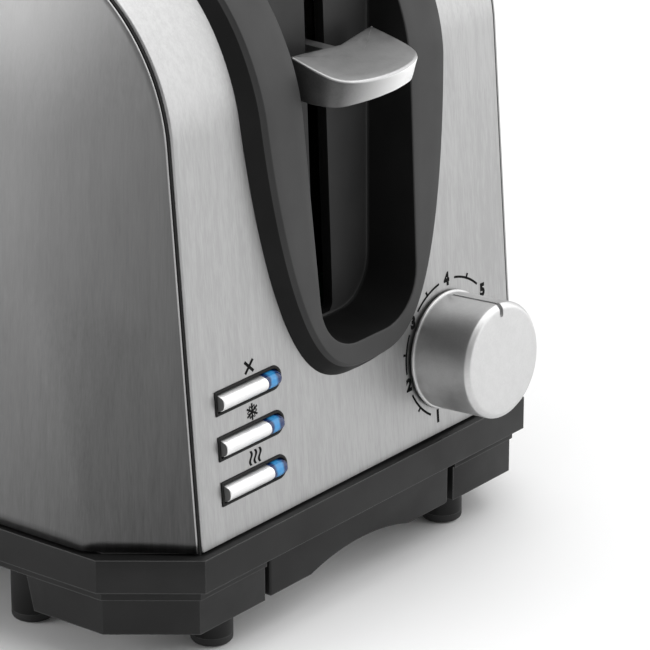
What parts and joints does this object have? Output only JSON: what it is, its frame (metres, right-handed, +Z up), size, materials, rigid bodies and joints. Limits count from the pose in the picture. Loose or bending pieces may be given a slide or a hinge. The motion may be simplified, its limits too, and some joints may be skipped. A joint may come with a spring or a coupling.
{
  "type": "pop up toaster",
  "caption": "Pop up toaster with long bread slots in a black deck, brushed steel cover, side lever in a deep trimmed pocket, browning knob, push buttons and slide-out crumb tray.",
  "frame": {"origin": "middle of the whole object's footprint, on the table", "axes": "+X towards the end with the lever, knob and buttons; +Y to the right as seen from that end; +Z up"},
  "size_m": [0.2966, 0.18, 0.195],
  "materials": {
    "base_plastic": "fine textured satin black moulding",
    "foot_rubber": "matt rubber",
    "trim_plastic": "satin dark grey moulding",
    "seam_black": "plain black",
    "cover_steel": "fine upright brushing",
    "side_steel": "fine upright brushing",
    "chassis_steel": "zinc plated sheet",
    "bright_steel": "bright plated wire",
    "mica": "flaked mica board",
    "heating_ribbon": "oxidised resistance ribbon",
    "satin_silver": "satin silver plated plastic",
    "blue_lens": "clear blue",
    "magnet_iron": "laminated iron",
    "copper_winding": "lacquered copper wire",
    "circuit_board": "green solder mask",
    "led_clear": "clear",
    "component_plastic": "moulded plastic",
    "wire_sleeve": "braided sleeve"
  },
  "bodies": {
    "housing": {"base_plinth": "base_plastic", "foot_posts": "base_plastic", "foot_pads": "foot_rubber", "base_screws": "bright_steel", "front_panel": "cover_steel", "rear_panel": "cover_steel", "top_rails": "cover_steel", "side_shell_left": "side_steel", "side_shell_right": "side_steel", "seam_trim_left": "seam_black", "seam_trim_right": "seam_black", "top_deck": "trim_plastic", "lever_bezel": "trim_plastic", "front_chassis_plate": "chassis_steel", "rear_chassis_plate": "chassis_steel", "chassis_top": "chassis_steel", "baffle_left": "chassis_steel", "baffle_right": "chassis_steel", "heater_card_1": "mica", "heater_card_2": "mica", "heater_card_3": "mica", "heater_card_4": "mica", "heater_ribbon_1": "heating_ribbon", "heater_ribbon_2": "heating_ribbon", "heater_ribbon_3": "heating_ribbon", "heater_ribbon_4": "heating_ribbon", "guide_rod": "bright_steel", "spring_bracket": "chassis_steel", "return_spring": "bright_steel", "magnet_core": "magnet_iron", "magnet_coil": "copper_winding", "magnet_bracket": "chassis_steel", "control_board": "circuit_board", "button_switches": "seam_black", "indicator_leds": "led_clear", "potentiometer": "component_plastic", "button_frame": "seam_black", "cord_gland": "seam_black", "terminal_block": "component_plastic", "wiring_loom": "wire_sleeve"},
    "carriage": {"lever_handle": "satin_silver", "lever_arm": "chassis_steel", "carriage_slider": "chassis_steel", "bread_rack_left": "bright_steel", "bread_rack_right": "bright_steel", "keeper_plate": "chassis_steel"},
    "browning_knob": {"browning_knob": "satin_silver", "knob_shaft": "bright_steel"},
    "cancel_button": {"cancel_cap": "satin_silver", "cancel_lens": "blue_lens"},
    "defrost_button": {"defrost_cap": "satin_silver", "defrost_lens": "blue_lens"},
    "reheat_button": {"reheat_cap": "satin_silver", "reheat_lens": "blue_lens"},
    "crumb_tray": {"crumb_tray_pan": "chassis_steel", "crumb_tray_front": "base_plastic"},
    "guide_1": {"bread_guide_1": "bright_steel"},
    "guide_2": {"bread_guide_2": "bright_steel"},
    "guide_3": {"bread_guide_3": "bright_steel"},
    "guide_4": {"bread_guide_4": "bright_steel"}
  },
  "joints": [
    {"name": "carriage_slide", "type": "slide", "parent": "housing", "child": "carriage", "axis": [0, 0, 1], "range_m": [-0.06, 0.008], "stiffness_N_per_m": 100, "springref_m": 0.0212, "deforming": ["return_spring"]},
    {"name": "knob_turn", "type": "hinge", "parent": "housing", "child": "browning_knob", "pos_m": [0.13528, 0.0382, 0.05875], "axis": [0.9969, 0, 0.0785], "range_deg": [-53, 159]},
    {"name": "cancel_press", "type": "slide", "parent": "housing", "child": "cancel_button", "axis": [-0.9969, 0, -0.0785], "range_m": [0, 0.0015], "stiffness_N_per_m": 400, "springref_m": -0.001},
    {"name": "defrost_press", "type": "slide", "parent": "housing", "child": "defrost_button", "axis": [-0.9969, 0, -0.0785], "range_m": [0, 0.0015], "stiffness_N_per_m": 400, "springref_m": -0.001},
    {"name": "reheat_press", "type": "slide", "parent": "housing", "child": "reheat_button", "axis": [-0.9969, 0, -0.0785], "range_m": [0, 0.0015], "stiffness_N_per_m": 400, "springref_m": -0.001},
    {"name": "tray_slide", "type": "slide", "parent": "housing", "child": "crumb_tray", "axis": [1, 0, 0], "range_m": [0, 0.235]},
    {"name": "guide_1_swing", "type": "hinge", "parent": "housing", "child": "guide_1", "pos_m": [-0.00832, -0.0355, 0.04], "axis": [1, 0, 0], "range_deg": [-2.8, 0.4]},
    {"name": "guide_2_swing", "type": "hinge", "parent": "housing", "child": "guide_2", "pos_m": [-0.00832, -0.0095, 0.04], "axis": [1, 0, 0], "range_deg": [-0.4, 2.8]},
    {"name": "guide_3_swing", "type": "hinge", "parent": "housing", "child": "guide_3", "pos_m": [-0.00832, 0.0095, 0.04], "axis": [1, 0, 0], "range_deg": [-2.8, 0.4]},
    {"name": "guide_4_swing", "type": "hinge", "parent": "housing", "child": "guide_4", "pos_m": [-0.00832, 0.0355, 0.04], "axis": [1, 0, 0], "range_deg": [-0.4, 2.8]}
  ],
  "couplings": [
    {"joint": "guide_1_swing", "follows": "carriage_slide", "rad_per_m": 0.785},
    {"joint": "guide_2_swing", "follows": "carriage_slide", "rad_per_m": -0.785},
    {"joint": "guide_3_swing", "follows": "carriage_slide", "rad_per_m": 0.785},
    {"joint": "guide_4_swing", "follows": "carriage_slide", "rad_per_m": -0.785}
  ]
}
